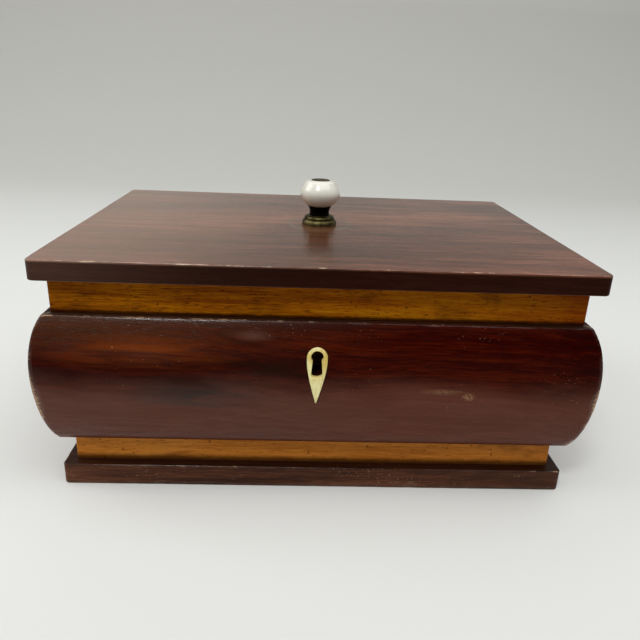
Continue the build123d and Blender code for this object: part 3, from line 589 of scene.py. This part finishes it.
class Arris:
    """The radius of a worn edge along its length, with shallow waves and a few chips."""

    def __init__(self, radius, seed, wear=0.5, chips=0.12):
        self.radius = radius
        self.seed = seed
        self.wear = wear
        self.chips = chips

    def at(self, run):
        """(radius, wear) at a distance in metres along the edge."""
        slow = noise.noise((run * 22, self.seed, 0.5))
        fast = noise.noise((run * 160, self.seed, 3.5))
        chip = max(0.0, noise.noise((run * 95, self.seed, 7.5)) - 0.42) * 2.5
        radius = self.radius * (1 + 0.22 * slow + 0.12 * fast) + chip * self.chips * 4 * MM
        wear = self.wear + 0.5 * slow + 0.35 * fast + 2.0 * chip
        return radius, min(max(wear, 0.0), 1.0)


def rounded(before, corner, after, wear, steps=5):
    """Points (inset, z, wear) of a rounded corner, a curve pulled towards the sharp corner."""
    points = []
    for i in range(steps + 1):
        t = i / steps
        weights = ((1 - t) ** 2, 2 * t * (1 - t), t ** 2)
        inset, z = (sum(w * p[k] for w, p in zip(weights, (before, corner, after))) for k in (0, 1))
        points.append((inset, z, wear * (4 * t * (1 - t)) ** 2))
    return points


def finish_piece(name, mesh, material, body, slot, *replaced):
    """Turns a bmesh into a smooth-shaded piece that rides on a body."""
    bmesh.ops.recalc_face_normals(mesh, faces=mesh.faces)
    data = bpy.data.meshes.new(name)
    mesh.to_mesh(data)
    mesh.free()
    piece = add_object(name, data)
    smooth(data)
    data.materials.append(material)
    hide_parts(*replaced)
    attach(piece, body)
    return piece


def smooth(data):
    for face in data.polygons:
        face.use_smooth = True
    data.set_sharp_from_angle(angle=CREASE_ANGLE)


def bridge(mesh, near, far):
    """Joins two closed loops of as many vertices with a band of faces."""
    count = len(near)
    for i in range(count):
        j = (i + 1) % count
        mesh.faces.new((near[i], near[j], far[j], far[i]))


def add_rows(mesh, rows):
    """Skins neighbouring closed rows of (place, wear) points, and returns the rows' vertices."""
    layer = mesh.verts.layers.float.get("wear") or mesh.verts.layers.float.new("wear")
    made = []
    for row in rows:
        made.append([])
        for place, wear in row:
            vertex = mesh.verts.new(place)
            vertex[layer] = wear
            made[-1].append(vertex)
    for near, far in zip(made, made[1:]):
        bridge(mesh, near, far)
    return made


def board_stations(half_x, half_y, corner):
    """Places and outward directions round a rectangle with rounded corners."""
    stations = []
    for turn in range(4):
        length, depth = (half_x, half_y) if turn % 2 == 0 else (half_y, half_x)
        spin = Matrix.Rotation(math.pi / 2 * turn, 2)
        count = round(2 * (length - corner) / STATION_STEP)
        for i in range(count):
            x = -(length - corner) + 2 * (length - corner) * i / count
            stations.append((spin @ Vector((x, -depth)), spin @ Vector((0, -1))))
        for i in range(6):
            angle = math.radians(-90 + 15 * i)
            out = Vector((math.cos(angle), math.sin(angle)))
            centre = Vector((length - corner, corner - depth))
            stations.append((spin @ (centre + out * corner), spin @ out))
    return stations


def worn_board(node, corner, top, bottom, material, body, slot):
    """A flat board with worn upper and lower arrises, in the box of its CAD node."""
    low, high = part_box(node)
    middle = (low + high) / 2
    inside = corner * 0.95
    columns = []
    run = 0.0
    last = None
    for place, out in board_stations(high.x - middle.x, high.y - middle.y, corner):
        run += (place - last).length if last is not None else 0.0
        last = place
        upper, upper_wear = top.at(run)
        lower, lower_wear = bottom.at(run)
        profile = [(inside, high.z, 0.0), (upper * 1.3, high.z, 0.0)]
        profile += rounded((upper, high.z), (0, high.z), (0, high.z - upper), upper_wear)
        profile += [(0, high.z - upper * 1.6, 0.0), (0, middle.z, 0.0), (0, low.z + lower * 2.4, 0.0)]
        profile += [(0, low.z + lower * 1.5, lower_wear * 0.6)]
        profile += rounded((0, low.z + lower), (0, low.z), (lower, low.z), lower_wear)
        profile += [(inside, low.z, 0.0)]
        column = []
        for inset, z, wear in profile:
            point = place - out * inset
            column.append(((middle.x + point.x, middle.y + point.y, z), wear))
        columns.append(column)
    mesh = bmesh.new()
    rows = add_rows(mesh, list(zip(*columns)))
    mesh.faces.new(rows[0])
    mesh.faces.new(rows[-1])
    return finish_piece(f"worn_{node}", mesh, material, body, slot, node)


# The cushion moulding swells out as two quarter ellipses that meet at its widest height.
WIDEST_Z = 73 * MM
UPPER_RADIUS = 35 * MM
LOWER_RADIUS = 46 * MM
UPPER_INSET = 7.3 * MM
LOWER_INSET = 8.4 * MM
FOOT_RADIUS = 0.6 * MM
CORNER_RADIUS = 1.3 * MM
# Where its corners are rubbed bare, as (z, reach up and down) in mm
LEFT_RUBS = ((58, 12),)
RIGHT_RUBS = ((64, 6), (33, 5))


def swell_inset(z, low, high):
    """How far the moulding's face lies inside its widest line at a height."""
    if z > WIDEST_Z:
        radius, reach, inset = UPPER_RADIUS, high - WIDEST_Z, UPPER_INSET
    else:
        radius, reach, inset = LOWER_RADIUS, WIDEST_Z - low, LOWER_INSET
    full = 1 - math.sqrt(1 - (reach / radius) ** 2)
    return inset * (1 - math.sqrt(1 - ((z - WIDEST_Z) / radius) ** 2)) / full


def cushion_profile(low, high, back, arris):
    """The moulding's section as (inset, z, wear), from its foot up the face and over to its back."""
    radius, wear = arris
    steps = 26
    foot = swell_inset(low, low, high)
    head = swell_inset(high, low, high)
    profile = [(back, low, 0.0)]
    bottom = low + FOOT_RADIUS
    above = (swell_inset(bottom, low, high), bottom)
    profile += rounded((foot + FOOT_RADIUS, low), (foot, low), above, 0.2, 3)
    top = high - radius
    for i in range(1, steps):
        z = bottom + (top - bottom) * i / steps
        profile.append((swell_inset(z, low, high), z, 0.0))
    profile += rounded((swell_inset(top, low, high), top), (head, high), (head + radius, high), wear)
    profile += [(head + radius * 1.4, high, 0.0), (back, high, 0.0)]
    return profile


def side_stations(half, corner, count):
    """(place along the side, how far behind its face), from mitre to mitre round half of each corner."""
    flat = half - corner
    arc_steps = 4
    turns = [math.radians(45 * i / arc_steps) for i in range(1, arc_steps)] + [math.pi / 4]
    left = [(-flat - corner * math.sin(a), corner * (1 - math.cos(a))) for a in reversed(turns)]
    middle = [(-flat + 2 * flat * i / count, 0.0) for i in range(count + 1)]
    right = [(-x, depth) for x, depth in reversed(left)]
    return left + middle + right


def rubbed_corner(z, left):
    """How bare the polish is rubbed at a height on the moulding's left or right corner."""
    rubs = LEFT_RUBS if left else RIGHT_RUBS
    return sum(0.7 * math.exp(-((z / MM - middle) / reach) ** 2) for middle, reach in rubs)


def worn_cushion(side, material):
    """One mitred side of the swelled moulding, with worn ledge and corner arrises; on the front the
    ledge's pale line is partly a painted highlight.
    """
    node = f"cushion_{side}"
    low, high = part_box(node)
    along_x = side in ("front", "back")
    front_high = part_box("cushion_front")[1]
    side_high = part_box("cushion_right")[1]
    halves = (front_high.x, side_high.y)
    half_length, half_depth = halves if along_x else reversed(halves)
    turn = {"front": 0, "right": 1, "back": 2, "left": 3}[side]
    spin = Matrix.Rotation(math.pi / 2 * turn, 3, "Z")
    back = half_depth - inner_face(side)
    # On the front the ledge's wear is set high: partly real wear, partly a painted highlight of the
    # light from the left.
    ledge = Arris(0.9 * MM, 11 + turn, 0.7 if side == "front" else 0.3)
    corner_edge = Arris(CORNER_RADIUS, 31 + turn, 0.55)
    columns = []
    steps = round(2 * half_length / STATION_STEP)
    last = len(side_stations(half_length, CORNER_RADIUS, steps)) - 1
    for j in range(last + 1):
        run = half_length * (2 * j / last - 1)
        radius, wear = ledge.at(run + 1.0)
        # Painted highlight: the front ledge's pale line fades from left to right, away from the light.
        wear *= 1 - 0.65 * j / last if side == "front" else 1
        profile = cushion_profile(low.z, high.z, back, (radius, wear))
        column = []
        for inset, z, wear in profile:
            radius, corner_wear = corner_edge.at(z)
            radius *= max(0.05, 1 - max(0.0, inset - UPPER_INSET) / (back - UPPER_INSET))
            x, behind = side_stations(half_length - inset, radius, steps)[j]
            bare = rubbed_corner(z, x < 0)
            reach = (2.2 + 2.5 * bare) * MM
            near_end = max(0.0, 1 - (half_length - inset - abs(x)) / reach)
            end_wear = min(1.0, (corner_wear + bare) * min(1.0, near_end * 1.5))
            place = spin @ Vector((x, -half_depth + inset + behind, z))
            column.append((place, max(wear, end_wear)))
        columns.append(column)
    mesh = bmesh.new()
    rows = add_rows(mesh, columns)
    mesh.faces.new(rows[0])
    mesh.faces.new(rows[-1])
    return finish_piece(f"worn_{node}", mesh, material, "case", "mahogany_cushion", node)


def inner_face(side):
    """How far from the middle a side's moulding meets the carcass."""
    carcass = high_of("carcass_back")
    return carcass.y if side in ("front", "back") else carcass.x


def block_cutter(low, high):
    mesh = bmesh.new()
    size = Vector(high) - Vector(low)
    matrix = Matrix.Translation((Vector(low) + Vector(high)) / 2) @ Matrix.Diagonal((*size, 1))
    bmesh.ops.create_cube(mesh, size=1.0, matrix=matrix)
    return mesh


def prism_cutter(outline, y0, y1):
    """A cutter with an outline of (x, z) points, from y0 back to y1."""
    mesh = bmesh.new()
    ends = [[mesh.verts.new((x, y, z)) for x, z in outline] for y in (y0, y1)]
    bridge(mesh, *ends)
    for end in ends:
        mesh.faces.new(end)
    bmesh.ops.recalc_face_normals(mesh, faces=mesh.faces)
    return mesh


def cut(piece, *cutters):
    """Takes closed cutter meshes out of a piece."""
    for mesh in cutters:
        data = bpy.data.meshes.new("cutter")
        mesh.to_mesh(data)
        mesh.free()
        cutter = add_object("cutter", data)
        modifier = piece.modifiers.new("cut", "BOOLEAN")
        modifier.operation = "DIFFERENCE"
        modifier.object = cutter
        bpy.context.view_layer.update()
        evaluated = piece.evaluated_get(bpy.context.evaluated_depsgraph_get())
        result = bpy.data.meshes.new_from_object(evaluated)
        piece.modifiers.clear()
        piece.data = result
        bpy.data.objects.remove(cutter)
    smooth(piece.data)


def plate_loops(node):
    """The outlines of a plate's flat back as lists of (x, z) points, the longest first."""
    mesh = bmesh.new()
    mesh.from_mesh(nodes[node].data)
    bmesh.ops.remove_doubles(mesh, verts=mesh.verts, dist=1e-6)
    back = high_of(node).y
    flat = {f for f in mesh.faces if all(abs(v.co.y - back) < 1e-6 for v in f.verts)}
    rim = {e for e in mesh.edges if sum(f in flat for f in e.link_faces) == 1}
    loops = []
    while rim:
        edge = rim.pop()
        start, here = edge.verts
        loop = [start, here]
        while here is not start:
            edge = next(e for e in here.link_edges if e in rim)
            rim.remove(edge)
            here = edge.other_vert(here)
            loop.append(here)
        loops.append([(v.co.x, v.co.z) for v in loop[:-1]])
    mesh.free()
    return sorted(loops, key=perimeter, reverse=True)


def perimeter(loop):
    return sum(math.dist(a, b) for a, b in zip(loop, loop[1:] + loop[:1]))


def grown(loop, margin):
    """A loop moved outwards by a margin, or inwards by a negative one."""
    area = sum(a[0] * b[1] - b[0] * a[1] for a, b in zip(loop, loop[1:] + loop[:1]))
    push = margin if area > 0 else -margin
    result = []
    for before, here, after in zip(loop[-1:] + loop[:-1], loop, loop[1:] + loop[:1]):
        along_x, along_z = after[0] - before[0], after[1] - before[1]
        size = math.hypot(along_x, along_z)
        result.append((here[0] + push * along_z / size, here[1] - push * along_x / size))
    return result


def cushion_front_cuts():
    """The keyhole, the seat for its plate and the lock's mortise."""
    drop, keyhole = plate_loops("escutcheon")
    plate_low, plate_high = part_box("escutcheon")
    lock_low, lock_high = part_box("lock_plate")
    front = plate_low.y - 5 * MM
    return [
        prism_cutter(grown(drop, 0.45 * MM), front, plate_high.y),
        prism_cutter(keyhole, front, lock_low.y + 1 * MM),
        block_cutter(lock_low, lock_high + Vector((0, 0, 1 * MM))),
    ]


def cushion_back_cuts():
    """Room for the hinges' leaves and barrels, open to the back."""
    cutters = []
    gap = 0.3 * MM
    for hand in ("left", "right"):
        low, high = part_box(f"hinge_{hand}_case_leaf")
        leaf_bottom = high_of("carcass_back").z - 1.5 * MM
        reach = high_of("cushion_back").y + 5 * MM
        clear = (high.x + gap, reach, high.z + 1 * MM)
        cutters.append(block_cutter((low.x - gap, low.y, leaf_bottom), clear))
        barrel_front = middle_of(f"hinge_{hand}_pin").y - 2.8 * MM
        barrel_low = (low.x - gap, barrel_front, low.z - gap)
        barrel_high = (high.x + gap, barrel_front + 5.6 * MM, high.z + 1 * MM)
        cutters.append(block_cutter(barrel_low, barrel_high))
    return cutters


def base_cuts():
    """Holes under the base for its screws' heads."""
    apart = 10 * MM
    radius = 3.3 * MM
    mesh = bmesh.new()
    mesh.from_mesh(nodes["base_screws"].data)
    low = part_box("base_screws")[0].z
    heads = [v.co.copy() for v in mesh.verts if v.co.z < low + 0.05 * MM]
    mesh.free()
    places = []
    for head in heads:
        if all((head.xy - place.xy).length > apart for place in places):
            group = [v for v in heads if (v.xy - head.xy).length < apart]
            places.append(sum(group, Vector()) / len(group))
    cutters = []
    for place in places:
        sink = bmesh.new()
        matrix = Matrix.Translation((place.x, place.y, 0))
        bmesh.ops.create_cone(
            sink, cap_ends=True, segments=32,
            radius1=radius, radius2=radius, depth=8 * MM, matrix=matrix
        )
        cutters.append(sink)
    return cutters


def make_escutcheon(material):
    """Bone plate with a bevelled rim, its face following the swell of the moulding."""
    drop, keyhole = plate_loops("escutcheon")
    back = high_of("escutcheon").y
    low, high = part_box("cushion_front")
    proud = 0.25 * MM

    def face(x, z, sunk=0.0):
        return Vector((x, low.y - proud + swell_inset(z, low.z, high.z) + sunk, z))

    mesh = bmesh.new()
    outer = [mesh.verts.new((x, back, z)) for x, z in drop]
    edge = [mesh.verts.new(face(x, z, 0.35 * MM)) for x, z in drop]
    mid = [mesh.verts.new(face(x, z, 0.12 * MM)) for x, z in grown(drop, -0.25 * MM)]
    rim = [mesh.verts.new(face(x, z)) for x, z in grown(drop, -0.75 * MM)]
    lip = [mesh.verts.new(face(x, z)) for x, z in grown(keyhole, 0.2 * MM)]
    throat = [mesh.verts.new(face(x, z, 0.3 * MM)) for x, z in keyhole]
    inner = [mesh.verts.new((x, back, z)) for x, z in keyhole]
    for ring in ((outer, edge), (edge, mid), (mid, rim), (lip, throat), (throat, inner)):
        bridge(mesh, *ring)
    for near, far in ((rim, lip), (outer, inner)):
        edges = [mesh.edges.get((a, b)) or mesh.edges.new((a, b)) for loop in (near, far)
                 for a, b in zip(loop, loop[1:] + loop[:1])]
        bmesh.ops.triangle_fill(mesh, use_beauty=True, edges=edges)
    return finish_piece("bone_escutcheon", mesh, material, "case", "bone", "escutcheon")


def paint(material, *names):
    """Gives CAD nodes a material."""
    for name in names:
        node = nodes[name]
        node.data.materials.clear()
        node.data.materials.append(material)


SIDES = ("front", "back", "left", "right")
GRAIN = {"front": "X", "back": "X", "left": "Y", "right": "Y"}
# How far the figure is moved on from one side to the next
SIDE_SHIFT = 3.1


def make_worn_pieces():
    """The boards and mouldings whose edges have worn, in place of their CAD nodes."""
    lid_wood = wood("mahogany_lid", "X", LID_TONES, shift=1.3, gloss=0.3, figure=0.85,
                    specular=0.05, wave=6 * MM, extra=lid_polish)
    top, bottom = Arris(0.9 * MM, 1, 0.45), Arris(0.8 * MM, 2, wear=-1.0, chips=0.0)
    worn_board("lid_board", 3.6 * MM, top, bottom, lid_wood, "lid", "mahogany_lid")
    base_wood = wood("mahogany_base", "X", BASE_TONES, shift=2.2, gloss=0.42, extra=base_polish)
    top, bottom = Arris(0.8 * MM, 3, 0.15), Arris(1.1 * MM, 4, 0.6)
    base = worn_board("base_board", 2.5 * MM, top, bottom, base_wood, "case", "mahogany_base")
    cut(base, *base_cuts())
    cuts = {"front": cushion_front_cuts, "back": cushion_back_cuts}
    for i, side in enumerate(SIDES):
        material = wood(f"mahogany_{side}", GRAIN[side], MAHOGANY, shift=SIDE_SHIFT * i, gloss=0.36,
                        figure=0.75, specular=0.04, wave=26 * MM, extra=cushion_polish(side))
        piece = worn_cushion(side, material)
        if side in cuts:
            cut(piece, *cuts[side]())
    make_escutcheon(bone())


def paint_cad():
    """Materials for the nodes that keep their CAD mesh."""
    for i, side in enumerate(SIDES):
        axis = GRAIN[side]
        shift = SIDE_SHIFT * i
        upper = f"upper_frieze_{side}"
        lower = f"lower_frieze_{side}"
        pits = NAIL_PITS if side == "front" else ()
        dark = wood(f"satinwood_{upper}", axis, SATIN_DARK, shift, gloss=0.45, figure=0.8,
                    pores=0.8, specular=0.06, extra=grime_and_painted_shade(upper, 1.3, 0.6))
        light = wood(f"satinwood_{lower}", axis, SATIN_LIGHT, shift, gloss=0.45, figure=0.6,
                     pores=0.4, specular=0.15, extra=grime_and_painted_shade(lower, 3.6, 0.1, pits))
        paint(dark, upper)
        paint(light, lower)
        paint(wood(f"pine_{side}", axis, PINE, shift, gloss=0.6), f"carcass_{side}")
    paint(wood("pine_floor", "X", PINE, shift=5.0, gloss=0.6), "bottom_board")
    cedar = wood("cedar", "Y", CEDAR, shift=7.0, gloss=0.5)
    paint(cedar, "partition", *[name for name in nodes if name.startswith("lining_")])
    inner = wood("mahogany_inner", "X", INNER_TONES, shift=9.0, gloss=0.4, extra=polish(0.3))
    paint(inner, "inner_lid_left", "inner_lid_right")
    paint(foil(), "tea_liner_left", "tea_liner_right")
    paint(bone(), "inner_knob_left", "inner_knob_right")
    paint(porcelain(), "knob_ball")
    darkened = metal("aged_brass", srgb(116, 106, 70), srgb(54, 50, 32), 0.36)
    paint(darkened, "knob_foot", "knob_bolt")
    paint(metal("blackened_brass", srgb(24, 22, 20), srgb(12, 11, 10), 0.45), "knob_neck")
    brass = metal("brass", srgb(196, 160, 92), srgb(138, 108, 58), 0.32)
    paint(brass, "knob_nut", "knob_washer", "link_plate")
    paint(brass, "lock_plate", "lock_cap", "lock_studs", "lock_bolt")
    paint(brass, *[name for name in nodes if name.endswith("_leaf")])
    paint(brass, "hinge_case_screws", "hinge_lid_screws", "lock_screws", "link_plate_screws")
    steel = metal("steel", srgb(120, 118, 114), srgb(70, 62, 54), 0.4)
    paint(steel, "lock_spring", "base_screws", "hinge_left_pin", "hinge_right_pin")


make_camera()
make_world()
make_lights()
make_stage()
make_worn_pieces()
paint_cad()
